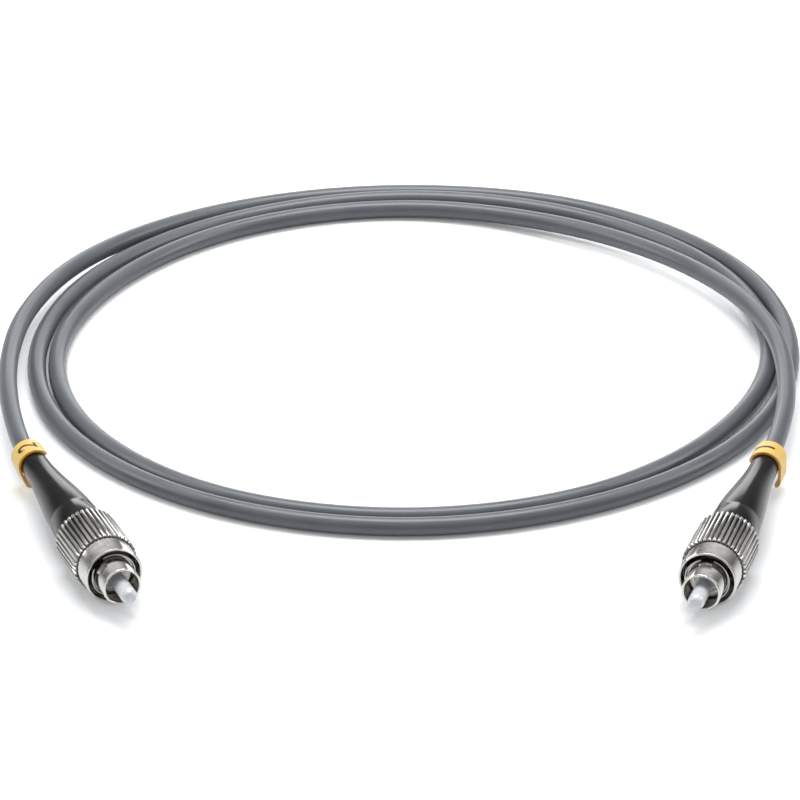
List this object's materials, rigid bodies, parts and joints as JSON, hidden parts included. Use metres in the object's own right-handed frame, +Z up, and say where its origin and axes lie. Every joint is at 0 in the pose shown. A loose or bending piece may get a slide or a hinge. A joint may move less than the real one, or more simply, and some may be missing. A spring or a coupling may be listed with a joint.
{
  "type": "fibre optic patch lead with fc connectors",
  "caption": "Simplex fibre optic patch lead, coiled, with a threaded FC-type connector, boot and number marker on each end.",
  "frame": {"origin": "on the floor, under the middle of the two connectors' common box, between their nuts and boots", "axes": "+X from connector 2 to connector 1, +Y from the connectors towards the coiled cord, +Z up from the floor the lead lies on"},
  "size_m": [0.1302, 0.1578, 0.01],
  "materials": {
    "jacket": "grey PVC jacket, smooth, satin",
    "boot_rubber": "black moulded elastomer, smooth, low gloss",
    "nickel_plate": "nickel-plated brass, bright",
    "nickel_plated_inner": "nickel-plated brass, satin",
    "spring_steel": "plain steel",
    "crimp_aluminium": "plain, soft annealed",
    "zirconia": "ground white zirconia",
    "marker_plastic": "yellow plastic, smooth",
    "buffer_plastic": "tight buffer on glass fibre",
    "aramid": "yellow yarn"
  },
  "bodies": {
    "lead": {"cord": "jacket", "spring_1": "spring_steel", "plug_frame_1": "nickel_plate", "rear_body_1": "nickel_plated_inner", "aramid_yarn_1": "aramid", "crimp_sleeve_1": "crimp_aluminium", "boot_1": "boot_rubber", "number_marker_1": "marker_plastic", "spring_2": "spring_steel", "plug_frame_2": "nickel_plate", "rear_body_2": "nickel_plated_inner", "aramid_yarn_2": "aramid", "crimp_sleeve_2": "crimp_aluminium", "boot_2": "boot_rubber", "number_marker_2": "marker_plastic"},
    "carrier_1": {"nut_ring_1": "spring_steel"},
    "nut_1": {"coupling_nut_1": "nickel_plate"},
    "tip_1": {"ferrule_1": "zirconia", "ferrule_holder_1": "nickel_plated_inner", "fibre_1": "buffer_plastic"},
    "carrier_2": {"nut_ring_2": "spring_steel"},
    "nut_2": {"coupling_nut_2": "nickel_plate"},
    "tip_2": {"ferrule_2": "zirconia", "ferrule_holder_2": "nickel_plated_inner", "fibre_2": "buffer_plastic"}
  },
  "joints": [
    {"name": "nut_slide_1", "type": "slide", "parent": "lead", "child": "carrier_1", "axis": [-0.2756, -0.9613, 0], "range_m": [-0.0003, 0.0046]},
    {"name": "nut_turn_1", "type": "hinge", "parent": "carrier_1", "child": "nut_1", "pos_m": [0.04828, -0.0106, 0.005], "axis": [-0.2756, -0.9613, 0], "continuous": true},
    {"name": "ferrule_push_1", "type": "slide", "parent": "lead", "child": "tip_1", "axis": [0.2756, 0.9613, 0], "range_m": [0, 0.0015], "stiffness_N_per_m": 2000, "deforming": ["spring_1"]},
    {"name": "nut_slide_2", "type": "slide", "parent": "lead", "child": "carrier_2", "axis": [0.3584, -0.9336, 0], "range_m": [-0.0006, 0.0043]},
    {"name": "nut_turn_2", "type": "hinge", "parent": "carrier_2", "child": "nut_2", "pos_m": [-0.0454, -0.00911, 0.005], "axis": [0.3584, -0.9336, 0], "continuous": true},
    {"name": "ferrule_push_2", "type": "slide", "parent": "lead", "child": "tip_2", "axis": [-0.3584, 0.9336, 0], "range_m": [0, 0.0015], "stiffness_N_per_m": 2000, "deforming": ["spring_2"]}
  ]
}
